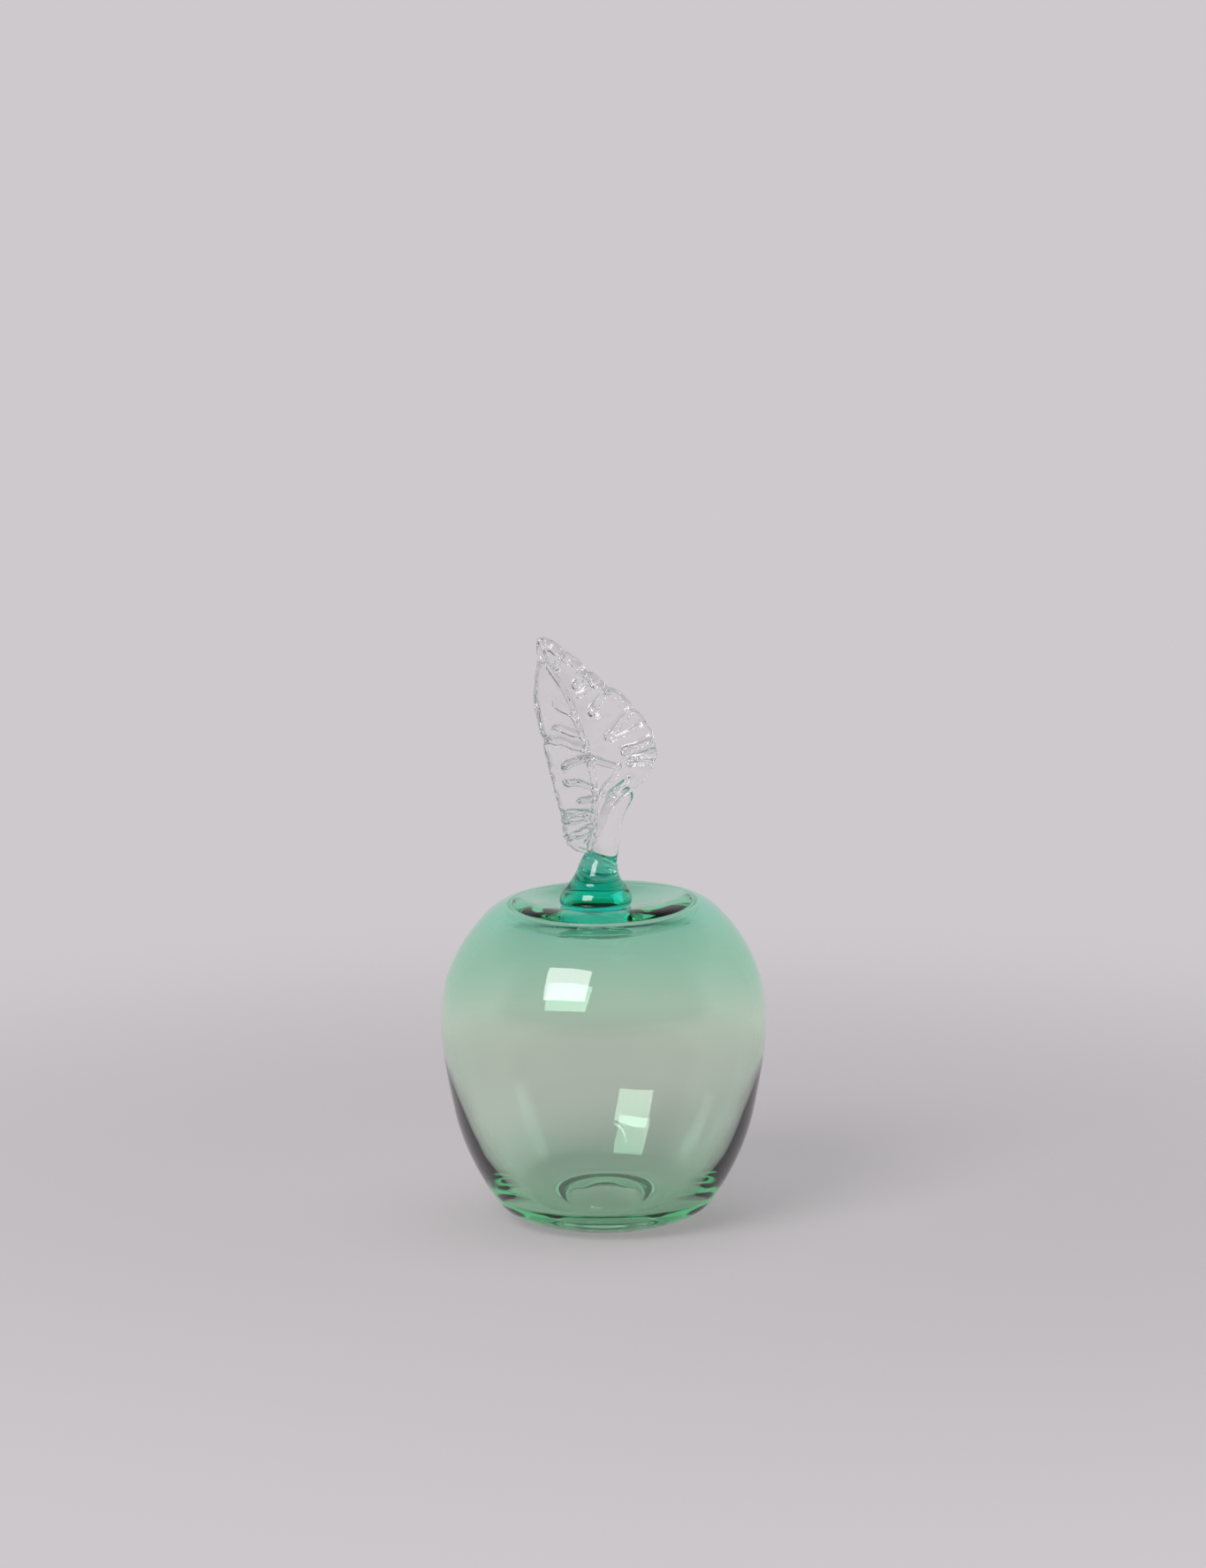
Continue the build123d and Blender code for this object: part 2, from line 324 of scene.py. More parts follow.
def body_profile(sizes):
    """Half of the section, from the pontil mark round the outside and back to the cavity's floor.

    Its second value is how many of the points lie outside.
    """
    radius = sizes.radius
    dish = line_through([(r * MM, z * MM) for r, z in PONTIL_ROWS], DISH_STEPS)
    arch = line_through([(r * MM, z * MM) for r, z in ARCH_ROWS], ARCH_STEPS)
    outer = line_through([(x * radius, z * CREST) for x, z in OUTLINE_SHARES], OUTER_STEPS)
    crest = max(range(len(outer)), key=lambda k: outer[k].y)
    # The wall's thickness at shares of the way from the foot ring to the crest
    walls = [
        (0.00, sizes.floor), (0.16, (sizes.floor + sizes.heel) / 2), (0.30, sizes.heel), (0.46, sizes.belly),
        (0.60, sizes.belly), (0.80, (sizes.belly + sizes.top) / 2), (1.00, sizes.top),
    ]
    inner = []
    for k in range(crest - CREST_SKIP, FOOT_SKIP, -INNER_STEP):
        along = (outer[k + 1] - outer[k - 1]).normalized()
        inner.append(outer[k] + Vector((-along.y, along.x)) * read_table(walls, k / crest)[0])
    last = inner[-1]
    half_way, middle = FLOOR_RISE
    floor = line_through([last, (0.5 * last.x, last.y + half_way), (0, last.y + middle)], FLOOR_STEPS)
    seat = [(r * MM, SEAT) for r in SEAT_RADII]
    bore = [(BORE_RADIUS, SEAT + (CEILING_HEIGHT - SEAT) * share) for share in BORE_SHARES]
    ceiling = line_through([*[(r * MM, z * MM) for r, z in CEILING_ROWS], inner[0]], CEILING_STEPS)
    outside = [*dish, *arch[1:], *outer, *seat]
    inside = [*bore, *ceiling, *inner[1:], *floor[1:]]
    return [Vector((p[0], 0, p[1])) for p in outside + inside], len(outside)


def seat_shift(radius):
    """How far the dimple is drawn towards the collar at a distance from the axis."""
    if radius < SEAT_RADIUS:
        return BORE_SHIFT + (SEAT_SHIFT - BORE_SHIFT) * step_up(radius, BORE_RADIUS, SEAT_RADIUS)
    return SEAT_SHIFT * (1 - step_up(radius, SEAT_RADIUS, DIMPLE_RADIUS))


def blown_out_of_round(point, sizes):
    """Where hand work leaves a point: the dimple drawn aside, the belly oval and the rim tilted."""
    radius = hypot(point.x, point.y)
    height = point.z / CREST
    x = point.x + seat_shift(radius) * step_up(height, *DIMPLE_SHARES)
    oval = sin(2 * atan2(point.y, point.x) + OVAL_TURN) * step_up(radius, *OVAL_RADII)
    drawn_in = 1 - sizes.sway * (1 + oval) / 2 / sizes.radius
    tilt = RIM_TILT * step_up(height, *TILT_SHARES) * step_up(radius, *TILT_RADII)
    return Vector((x * drawn_in, point.y * drawn_in, point.z + tilt * x))


class OBJECT_OT_blow_body(bpy.types.Operator):
    """Blows the green body: one spun shell with its foot ring, kick-up, dimple and cavity"""

    bl_idname = "glass_apple.blow_body"
    bl_label = "Blow the body"

    def execute(self, context):
        sizes = context.scene.apple_body_sizes
        bm = bmesh.new()
        points, outside = body_profile(sizes)
        skin = bm.verts.layers.float.new(SKIN)
        line = [bm.verts.new(p) for p in points]
        for vert in line[:outside]:
            vert[skin] = 1.0
        for a, b in zip(line, line[1:]):
            bm.edges.new((a, b))
        bmesh.ops.remove_doubles(bm, verts=bm.verts, dist=WELD)
        bmesh.ops.spin(
            bm, geom=bm.verts[:] + bm.edges[:], cent=(0, 0, 0), axis=(0, 0, 1), angle=tau,
            steps=sizes.steps, use_merge=True,
        )
        bmesh.ops.remove_doubles(bm, verts=bm.verts, dist=WELD)
        for vert in bm.verts:
            vert.co = blown_out_of_round(vert.co, sizes)
        bmesh.ops.recalc_face_normals(bm, faces=bm.faces)
        # Blown soda-lime glass under a thin skin of green dyed with iron and copper: aqua at the shoulder,
        # paler and warmer at the belly where it is blown thin, with long slow ripples from the blowing
        # The skin is also darker at the foot, partly as painted shade of the dark support seen through the
        # base
        green = context.scene.apple_colours.green
        blown = glass("Blown soda-lime glass, green", green, BODY_DENSITY, BODY_RIPPLE, SKIN_TINT)
        finish_piece(bm, "blown_body", blown, "apple_body")
        return {"FINISHED"}


# Stem from its foot in the collar to its free end: place, then across and height in millimetres, and its
# girth in shares of the rod's diameter
STEM_ROWS = [
    (0.00, -1.30, 121.2, 0.00),
    (0.01, -1.29, 121.25, 0.40),
    (0.03, -1.27, 121.6, 0.72),
    (0.06, -1.20, 122.4, 0.98),
    (0.12, -0.90, 124.2, 1.14),
    (0.20, -0.20, 126.6, 1.14),
    (0.30, 0.75, 129.8, 1.05),
    (0.42, 1.45, 133.4, 1.00),
    (0.58, 2.30, 139.3, 0.99),
    (0.76, 4.10, 145.6, 0.93),
    (0.90, 7.40, 150.2, 0.78),
    (0.94, 8.70, 151.4, 0.68),
    (0.97, 9.60, 152.2, 0.52),
    (0.99, 10.20, 152.7, 0.31),
    (1.00, 10.50, 152.9, 0.00),
]
STEM_SEGMENTS, STEM_RINGS = 72, 90
STEM_NEAR = 0.01  # how far up and down the rod its lean is read from


def stem_point(place, turn, diameter, gap=0.0):
    """A point on the rod's skin, or a small gap off it; a turn of zero is the left side."""
    x, z, girth = read_table(STEM_ROWS, place)
    x_next, z_next, _ = read_table(STEM_ROWS, min(place + STEM_NEAR, 1.0))
    x_last, z_last, _ = read_table(STEM_ROWS, max(place - STEM_NEAR, 0.0))
    along = Vector((x_next - x_last, 0, z_next - z_last)).normalized()
    left = Vector((-along.z, 0, along.x))
    reach = max(max(girth, 0) * diameter / 2 + gap, 0)
    return Vector((x * MM, 0, z * MM)) + reach * (cos(turn) * left + sin(turn) * Vector((0, 1, 0)))


class OBJECT_OT_draw_stem(bpy.types.Operator):
    """Draws the clear stem: a leaning rod with a swollen round foot and a rounded free end"""

    bl_idname = "glass_apple.draw_stem"
    bl_label = "Draw the stem"

    def execute(self, context):
        diameter = context.scene.apple_stem_sizes.diameter
        rings = [(1 - cos(pi * k / STEM_RINGS)) / 2 for k in range(STEM_RINGS + 1)]
        bm = loft(rings, STEM_SEGMENTS, lambda place, turn: stem_point(place, turn, diameter))
        # Clear crystal glass drawn from the furnace: nearly colourless, with faint ripples from the pull
        clear = context.scene.apple_colours.clear
        drawn = glass("Drawn crystal glass, clear", clear, STEM_DENSITY, STEM_RIPPLE)
        finish_piece(bm, "clear_stem", drawn, "stem")
        return {"FINISHED"}


# Collar's outside from foot to lip: millimetres above the seat, then its radius and its centre across
COLLAR_ROWS = [
    (0.0, 11.60, -2.40),
    (0.3, 12.05, -2.35),
    (0.9, 12.40, -2.30),
    (1.8, 12.60, -2.25),
    (3.2, 12.40, -2.20),
    (4.5, 11.95, -2.15),
    (5.5, 11.40, -2.10),
    (6.4, 10.80, -2.10),
    (7.3, 10.15, -2.05),
    (8.3, 9.35, -2.00),
    (9.2, 8.65, -1.95),
    (10.1, 8.15, -1.90),
    (11.1, 7.70, -1.75),
    (12.2, 7.30, -1.60),
    (14.0, 6.85, -1.30),
    (16.0, 6.40, -0.90),
    (19.5, 5.60, 0.20),
]
WAIST_DEPTH = 0.16  # how much deeper than wide the waist is, as the long highlight down its front shows
WAIST_UP, WAIST_DOWN = (8.0, 12.0), (12.5, 19.5)  # where that depth comes and goes, in millimetres
LIP_BULGE_SHARE = 0.35  # how far the lip is rounded up, in shares of its width
LIP_PLACES, LIP_HALVINGS = (0.1, 0.6), 24  # where up the stem the lip is looked for, and how finely
SOCKET_CROWDING = 1.5  # power that crowds the socket's rings towards the stem's foot
FOOT_RINGS, WALL_RINGS, LIP_RINGS, SOCKET_RINGS = 5, 60, 8, 30


def waist_depth(height):
    """The collar's depth in shares of its width, at a height above the seat in millimetres."""
    return 1 + WAIST_DEPTH * step_up(height, *WAIST_UP) * (1 - step_up(height, *WAIST_DOWN))


def lip_height(collar, turn):
    """Height of the collar's slanting lip at a turn."""
    return SEAT + collar.lip_rise + collar.lip_slant * cos(turn)


def lip_place(collar, diameter, turn):
    """The place up the stem where the lip meets its skin at a turn."""
    low, high = LIP_PLACES
    for _ in range(LIP_HALVINGS):
        middle = (low + high) / 2
        if stem_point(middle, turn, diameter).z < lip_height(collar, turn):
            low = middle
        else:
            high = middle
    return low


class OBJECT_OT_press_collar(bpy.types.Operator):
    """Presses the emerald collar: a solid bell on the seat, whose slanting lip cups the foot of the stem"""

    bl_idname = "glass_apple.press_collar"
    bl_label = "Press the collar"

    def execute(self, context):
        diameter = context.scene.apple_stem_sizes.diameter
        collar = context.scene.apple_collar_sizes
        spigot = SEAT - CEILING_HEIGHT + BITE
        lip = [lip_place(collar, diameter, tau * k / STEM_SEGMENTS) for k in range(STEM_SEGMENTS)]
        plug = BORE_RADIUS + BITE
        rings = [("spigot", 0.0, spigot), ("spigot", plug, spigot), ("spigot", plug, BITE)]
        rings += [("foot", k / FOOT_RINGS, 0) for k in range(1, FOOT_RINGS + 1)]
        rings += [("wall", k / WALL_RINGS, 0) for k in range(1, WALL_RINGS + 1)]
        rings += [("lip", k / LIP_RINGS, 0) for k in range(1, LIP_RINGS)]
        rings += [("socket", 1 - k / SOCKET_RINGS, 0) for k in range(SOCKET_RINGS + 1)]

        def place(row, turn):
            kind, share, depth = row
            at_lip = lip[round(turn / tau * STEM_SEGMENTS) % STEM_SEGMENTS]
            across = Vector((-cos(turn), sin(turn), 0))
            if kind == "spigot":
                return share * across + Vector((BORE_SHIFT, 0, SEAT - depth))
            if kind == "foot":
                radius = BORE_RADIUS + (SEAT_RADIUS - BORE_RADIUS) * share
                shift = BORE_SHIFT + (SEAT_SHIFT - BORE_SHIFT) * share
                return radius * across + Vector((shift, 0, SEAT - BITE))
            rise = lip_height(collar, turn) - SEAT
            height = rise * share if kind == "wall" else rise
            radius, shift = read_table(COLLAR_ROWS, height / MM)
            outer = radius * MM * across + Vector((shift * MM, 0, SEAT + height))
            outer.y *= waist_depth(height / MM)
            if kind == "wall":
                return outer
            if kind == "lip":
                inner = stem_point(at_lip, turn, diameter, -BITE)
                bulge = LIP_BULGE_SHARE * (outer - inner).length * sin(pi * share)
                return outer.lerp(inner, share) + Vector((0, 0, bulge))
            return stem_point(at_lip * share**SOCKET_CROWDING, turn, diameter, -BITE) + Vector((0, 0, BITE))

        bm = loft(rings, STEM_SEGMENTS, place)
        # Solid emerald glass, dyed with copper: a deep blue-green that pales where it thins over the stem
        emerald = context.scene.apple_colours.emerald
        pressed = glass("Pressed emerald glass", emerald, COLLAR_DENSITY, COLLAR_RIPPLE)
        finish_piece(bm, "emerald_collar", pressed, "stem_collar")
        return {"FINISHED"}


# Leaf rows from foot to tip: place, then the midrib, the right and the left margin, each across and up,
# and how far forward the midrib stands, in millimetres
LEAF_ROWS = [
    (0.00, -4.6, 131.6, -3.6, 131.4, -5.6, 131.0, 2.6),
    (0.05, -4.0, 134.2, -2.2, 134.6, -9.0, 133.0, 3.4),
    (0.10, -3.4, 137.2, -0.6, 138.0, -12.0, 136.5, 4.4),
    (0.16, -2.9, 141.0, 1.4, 142.0, -13.0, 141.0, 5.6),
    (0.23, -2.6, 146.0, 3.6, 147.3, -13.7, 146.8, 7.0),
    (0.30, -2.3, 150.5, 8.2, 152.2, -14.4, 151.6, 7.9),
    (0.38, -2.4, 155.6, 14.8, 157.6, -15.6, 157.5, 8.2),
    (0.46, -3.3, 161.0, 18.9, 165.0, -17.0, 163.8, 8.2),
    (0.54, -4.8, 166.3, 19.4, 170.5, -18.5, 170.0, 7.9),
    (0.61, -5.8, 171.5, 17.4, 175.6, -19.8, 175.5, 7.4),
    (0.68, -8.2, 177.2, 13.4, 181.5, -20.9, 180.8, 6.7),
    (0.75, -9.6, 182.4, 7.7, 187.2, -21.9, 186.0, 5.9),
    (0.82, -12.8, 189.0, 1.0, 191.7, -22.2, 190.8, 5.0),
    (0.88, -16.0, 193.8, -4.9, 196.4, -21.6, 195.3, 4.2),
    (0.94, -18.9, 198.6, -11.2, 202.0, -20.8, 199.4, 3.4),
    (0.98, -20.2, 203.6, -16.4, 205.2, -21.5, 203.6, 2.8),
    (1.00, -20.6, 207.2, -19.6, 207.0, -21.2, 207.0, 2.6),
]
RIGHT_FOLD, LEFT_FOLD = 0.12, 1.0  # how far each half folds back for each millimetre of its width
FOLD_SOFTNESS = 0.03  # share of the width over which the fold is rounded
BOW, FULL_BOW_WIDTH = 1.2, 12.0  # how far each half is bowed where it is this wide, in millimetres
LEAST_WIDTH = 0.1  # of a half at the leaf's ends, in millimetres

# Veins pinched with the jacks, from their inner end to the margin: across and height of both ends,
# how strongly they are pinched, and the radius of the bead that the tip of the tool leaves
RIGHT_VEINS = [
    (-14.9, 196.8, -12.2, 202.3, 0.9, 1.1),
    (-8.4, 190.4, -4.6, 196.0, 1.0, 0.9),
    (-7.6, 187.4, 0.6, 191.6, 0.8, 0.5),
    (-2.0, 181.4, 2.9, 190.0, 1.3, 1.6),
    (3.2, 173.0, 12.2, 182.8, 1.0, 1.0),
    (3.7, 171.4, 17.0, 177.6, 0.6, 0.5),
    (8.8, 167.2, 19.0, 172.0, 1.3, 1.3),
    (11.9, 165.4, 19.4, 169.6, 0.8, 0.5),
    (11.2, 163.4, 17.6, 164.2, 1.3, 1.2),
    (0.9, 152.8, 6.6, 162.6, 1.0, 0.5),
    (4.2, 152.0, 10.2, 157.6, 0.8, 0.5),
    (-4.0, 164.6, 5.8, 162.0, 1.0, 0.9),
]
LEFT_VEINS = [
    (-9.5, 179.3, -16.2, 184.8, 0.5, 0.5),
    (-5.8, 172.0, -16.0, 176.6, 0.7, 0.7),
    (-5.4, 168.2, -19.9, 174.5, 0.8, 0.8),
    (-4.5, 164.8, -13.6, 164.2, 1.2, 0.8),
    (0.5, 153.4, -12.6, 158.6, 0.9, 0.8),
    (-0.4, 151.0, -7.6, 151.0, 1.3, 0.7),
    (-5.0, 145.4, -13.3, 147.9, 0.9, 0.6),
    (-4.4, 144.2, -12.6, 144.4, 1.2, 0.8),
    (-3.6, 139.6, -12.2, 138.0, 1.2, 0.8),
    (-1.6, 137.0, -5.2, 135.2, 1.1, 0.8),
]
LEAF_SEGMENTS, LEAF_RINGS = 288, 300
LEAF_NEAR, LEAF_BESIDE = 0.003, 0.01  # how far along and across the blade its lie is read from
VEIN_DRIFT, DRIFT_SIZE = 0.9, 6 * MM  # how far the hand strays from a straight vein, in millimetres
DRIFT_SEED = 1795892865  # gives the same drift in every run
VEIN_REACH = 5.0  # beyond it a vein leaves the blade flat, in millimetres
STEEP_SIDE = 0.36  # width of a crease's lower side, in millimetres
FLAT_SIDE = (1.43, 0.78)  # width of its upper side at the inner end and at the margin, in millimetres
FADE_SHARE = 0.35  # of its height that a vein loses on the way to the margin
BEAD_SHARE = 0.5  # of the vein's height that the bead at its inner end adds
FULL_VEIN_WIDTH = 5 * MM  # where half the leaf is this wide, its veins are full height
# How deep and wide a vein draws the margin in, in millimetres, and the share of the width it never passes
NOTCH_DEPTH, NOTCH_WIDTH, NOTCH_SHARE = 0.55, 0.9, 0.3
# How wide a vein pushes the blade, in millimetres, and the push that leaves the margin in its place
PUSH_WIDTH, LEVEL_PUSH = 1.8, 0.4
# Shares of a half over which the wave grows towards the margin, and the half width that lets it grow in full
WAVE_SHARES, FULL_WAVE_WIDTH = (0.25, 0.9), 8 * MM
# How weak the veins are at the left half's foot, and where that ends
CALM_SHARE, CALM_PLACES = 0.3, (0.2, 0.35)
ROUND_POWER, BLUNT_POWER = 2, 30  # powers of the section's outline: an ellipse, and the bluntest strip
RIM_INSET_SHARE, RIM_SPREAD_SHARE = 1 / 3, 1 / 2.4  # where the rolled rim's bead lies and how wide it is
ROLL_PLACES, ROLL_GROWTH, LEFT_ROLL = (0.66, 0.8), 1.0, 0.1  # how the rim thickens by the tip and at left
RIB_WIDTH = 0.75 * MM
THIN_SHARE, THIN_WIDTH = 0.35, 4 * MM  # how thin the leaf's ends are, and the half width that ends it
LUMP_HEIGHT, LUMP_SIZE, LUMP_REACH = 1.4 * MM, 2.2 * MM, 3.4 * MM  # lumps of the thick rim by the tip
LUMP_PLACES, LEFT_LUMP_PLACES = (0.66, 0.76), (0.88, 0.95)  # where they come up on each half
DENT_HEIGHT, DENT_SIZE = 0.12 * MM, 4 * MM  # dents of the tools over the whole blade
LEAF_SMOOTHING = 0.3
STEM_CLEARED = 152 * MM  # height above which the leaf passes clear of the stem


@cache
def leaf_row(place):
    """The midrib, both margins and the forward stand of the leaf at a place."""
    return read_table(LEAF_ROWS, place)


def from_vein(x, z, vein):
    """How far a point lies from a vein, the share of the way along it, and if the point lies under it."""
    ax, az, bx, bz = vein[:4]
    dx, dz = bx - ax, bz - az
    share = ((x - ax) * dx + (z - az) * dz) / (dx * dx + dz * dz)
    held = min(max(share, 0), 1)
    under = ((x - ax) * dz - (z - az) * dx) * dx > 0
    return hypot(x - ax - held * dx, z - az - held * dz), held, under


def vein_strength(place, right):
    """How strongly the veins work on a half of the blade at a place."""
    return 1.0 if right else CALM_SHARE + (1 - CALM_SHARE) * step_up(place, *CALM_PLACES)


@cache
def notch(place, right):
    """How far the veins draw the margin in at a place, in millimetres."""
    row = leaf_row(place)
    x, z = row[2:4] if right else row[4:6]
    deep = NOTCH_DEPTH * vein_strength(place, right)
    return sum(
        deep * vein[4] * exp(-((hypot(x - vein[2], z - vein[3]) / NOTCH_WIDTH) ** 2))
        for vein in (RIGHT_VEINS if right else LEFT_VEINS)
    )


def blade_point(place, t):
    """The middle of the blade before it is pinched: t is -1 at the left margin and 1 at the right one."""
    mx, mz, rx, rz, lx, lz, forward = leaf_row(place)
    side_x, side_z, fold = (rx, rz, RIGHT_FOLD) if t > 0 else (lx, lz, LEFT_FOLD)
    width = max(hypot(side_x - mx, side_z - mz), LEAST_WIDTH)
    reach = abs(t) * (1 - min(notch(place, t > 0) / width, NOTCH_SHARE))
    soft = sqrt(reach * reach + FOLD_SOFTNESS**2) - FOLD_SOFTNESS
    bow = BOW * sin(pi * min(reach, 1)) * min(width / FULL_BOW_WIDTH, 1)
    y = -forward - fold * width * soft + bow
    return Vector((mx + (side_x - mx) * reach, y, mz + (side_z - mz) * reach)) * MM


def vein_swell(point, right):
    """How far the veins and their beads stand out at a point of the blade, and how far they push it."""
    swell = push = 0.0
    inner, outer = FLAT_SIDE
    drift = VEIN_DRIFT * noise.noise_vector(point / DRIFT_SIZE)
    x, z = point.x / MM + drift.x, point.z / MM + drift.z
    for vein in RIGHT_VEINS if right else LEFT_VEINS:
        away, share, under = from_vein(x, z, vein)
        if away > VEIN_REACH:
            continue
        strength, bead = vein[4:]
        slope = STEEP_SIDE if under else inner + (outer - inner) * share
        swell += strength * (1 - FADE_SHARE * share) * exp(-((away / slope) ** 2))
        tip = hypot(x - vein[0], z - vein[1])
        swell += BEAD_SHARE * strength * exp(-((tip / bead) ** 2))
        push += strength * exp(-((away / PUSH_WIDTH) ** 2))
    return swell, push


def leaf_point(sizes, place, turn):
    """A point on the leaf's skin: the turn runs round the section from the right margin over the front."""
    t = cos(turn)
    face = 1 if sin(turn) >= 0 else -1
    up = blade_point(min(place + LEAF_NEAR, 1), t) - blade_point(max(place - LEAF_NEAR, 0), t)
    across = blade_point(place, t + LEAF_BESIDE) - blade_point(place, t - LEAF_BESIDE)
    forward = across.cross(up).normalized()
    centre = blade_point(place, t)
    mx, _, rx, _, lx, _, _ = leaf_row(place)
    half_width = abs((rx if t > 0 else lx) - mx) * (1.0 if t > 0 else sqrt(1 + LEFT_FOLD**2)) * MM
    power = min(max(2 * half_width / (sizes.rim / 2), ROUND_POWER), BLUNT_POWER)
    closing = sqrt(max(1 - abs(t) ** power, 0))
    swell, push = vein_swell(centre, t > 0)
    inside = (1 - abs(t)) * half_width
    rolled = 1.0 + (ROLL_GROWTH * step_up(place, *ROLL_PLACES) if t > 0 else LEFT_ROLL)
    inset, spread = sizes.rim * RIM_INSET_SHARE, sizes.rim * RIM_SPREAD_SHARE * rolled
    rim = exp(-(((inside - inset) / spread) ** 2))
    rib = exp(-((abs(t) * half_width / RIB_WIDTH) ** 2))
    half = sizes.blade / 2
    half += (sizes.rim * rolled - sizes.blade) / 2 * rim
    half += (sizes.midrib - sizes.blade) / 2 * rib
    half += sizes.vein / 2 * swell * min(half_width / FULL_VEIN_WIDTH, 1)
    lumps = noise.noise(centre / LUMP_SIZE) * exp(-((inside / LUMP_REACH) ** 2))
    lumps *= step_up(place, *(LUMP_PLACES if t > 0 else LEFT_LUMP_PLACES))
    half += LUMP_HEIGHT * lumps
    half += DENT_HEIGHT * noise.noise(centre / DENT_SIZE)
    half *= closing * min(1, THIN_SHARE + half_width / THIN_WIDTH)
    wave = sizes.wave * (push - LEVEL_PUSH) * vein_strength(place, t > 0)
    wave *= step_up(abs(t), *WAVE_SHARES) * min(half_width / FULL_WAVE_WIDTH, 1)
    return centre + forward * (wave + face * half)


def keep_off_stem(point, diameter):
    """A leaf's point, moved out to the stem's skin where it would lie inside the rod."""
    rows = [(height, across, girth) for _, across, height, girth in STEM_ROWS if height * MM < STEM_CLEARED]
    x, girth = read_table(rows, point.z / MM)
    away = Vector((point.x - x * MM, point.y))
    least = girth * diameter / 2 - BITE
    if point.z > STEM_CLEARED or away.length >= least:
        return point
    away = away.normalized() * least
    return Vector((x * MM + away.x, away.y, point.z))


class OBJECT_OT_crimp_leaf(bpy.types.Operator):
    """Crimps the clear leaf: a folded blade with a rolled rim, a midrib and pinched veins"""

    bl_idname = "glass_apple.crimp_leaf"
    bl_label = "Crimp the leaf"

    def execute(self, context):
        sizes = context.scene.apple_leaf_sizes
        diameter = context.scene.apple_stem_sizes.diameter
        rings = [k / LEAF_RINGS for k in range(LEAF_RINGS + 1)]
        noise.seed_set(DRIFT_SEED)
        bm = loft(
            rings, LEAF_SEGMENTS,
            lambda place, turn: keep_off_stem(leaf_point(sizes, place, turn), diameter),
        )
        bmesh.ops.smooth_vert(
            bm, verts=bm.verts, factor=LEAF_SMOOTHING, use_axis_x=True, use_axis_y=True, use_axis_z=True,
        )
        # Clear crystal glass flattened and crimped while soft: bright and dark lines where veins bend light
        clear = context.scene.apple_colours.clear
        # Its dye is denser than the stem's, partly as painted shade that deepens the dark lines
        crimped = glass("Crimped crystal glass, clear", clear, LEAF_DENSITY, LEAF_RIPPLE)
        finish_piece(bm, "crimped_leaf", crimped, "leaf")
        return {"FINISHED"}


WALL_COLOUR, FLOOR_COLOUR, PAPER_COLOUR = "#CEC9CD", "#C6C2C4", "#D3CFD2"
OVERHEAD_COLOUR, BEHIND_COLOUR = "#2A292B", "#2C2B2D"
PAPER_GRAIN, PAPER_RELIEF = 2.5 * MM, 0.02 * MM
# How far off the paper starts to turn even and is so, in metres, and how even it is close by
NEAR, FAR, NEAR_EVENNESS = 0.15, 0.55, 0.5
# Where the room's zones begin and are full, by an axis of the way there: overhead, over the floor and on the
# viewer's side
ROOM_ZONES = [("Z", 0.4, 0.85), ("Z", 0.05, 0.15), ("Y", 0.0, -0.3)]
PAPER_HALF_WIDTH, PAPER_FRONT, PAPER_BACK, PAPER_CURVE, PAPER_RISE = 1.8, -3.2, 1.6, 0.7, 0.7
PAPER_STEPS = 32


def seamless_paper():
    """Matt seamless paper that holds the piece's shadow, and looks even and pale from further off."""
    material, output = start_material("Seamless paper, pale grey")
    tree = material.node_tree
    place = add_node(tree, "ShaderNodeTexCoord")
    grain = add_node(
        tree, "ShaderNodeTexNoise", {"Scale": 1 / PAPER_GRAIN, "Detail": 2.0},
        {"Vector": place.outputs["Object"]},
    )
    bump = add_node(
        tree, "ShaderNodeBump", {"Strength": 0.3, "Distance": PAPER_RELIEF}, {"Height": grain.outputs["Fac"]}
    )
    away = add_node(tree, "ShaderNodeVectorMath", {}, {0: place.outputs["Object"]}, operation="LENGTH")
    far = add_node(
        tree, "ShaderNodeMapRange", {"From Min": NEAR, "From Max": FAR}, {"Value": away.outputs["Value"]},
        interpolation_type="SMOOTHSTEP",
    )
    colour = add_node(
        tree, "ShaderNodeMix", {MIX_A: linear(FLOOR_COLOUR), MIX_B: linear(WALL_COLOUR)},
        {MIX_SHARE: far.outputs["Result"]}, data_type="RGBA",
    )
    matt = add_node(
        tree, "ShaderNodeBsdfPrincipled",
        {"Base Color": linear(PAPER_COLOUR), "Roughness": 0.95, "Specular IOR Level": 0.1},
        {"Normal": bump.outputs["Normal"]},
    )
    even = add_node(tree, "ShaderNodeEmission", {"Strength": 1.0}, {"Color": colour.outputs[MIX_RESULT]})
    path = add_node(tree, "ShaderNodeLightPath")
    seen = path.outputs["Is Camera Ray"]
    for ray in ("Is Glossy Ray", "Is Transmission Ray"):
        either = add_node(tree, "ShaderNodeMath", {}, {0: seen, 1: path.outputs[ray]}, operation="MAXIMUM")
        seen = either.outputs["Value"]
    evenness = add_node(
        tree, "ShaderNodeMapRange", {"To Min": NEAR_EVENNESS, "To Max": 1.0},
        {"Value": far.outputs["Result"]},
    )
    share = add_node(
        tree, "ShaderNodeMath", {}, {0: seen, 1: evenness.outputs["Result"]}, operation="MULTIPLY"
    )
    mix = add_node(
        tree, "ShaderNodeMixShader", {}, {0: share.outputs["Value"], 1: matt.outputs[0], 2: even.outputs[0]}
    )
    tree.links.new(mix.outputs[0], output.inputs["Surface"])
    return material


def grown_end(grown):
    """The corners and the edge at the end of what an operator has just grown."""
    corners = [g for g in grown if isinstance(g, bmesh.types.BMVert)]
    edge = [g for g in grown if isinstance(g, bmesh.types.BMEdge) and all(v in corners for v in g.verts)]
    return corners, edge


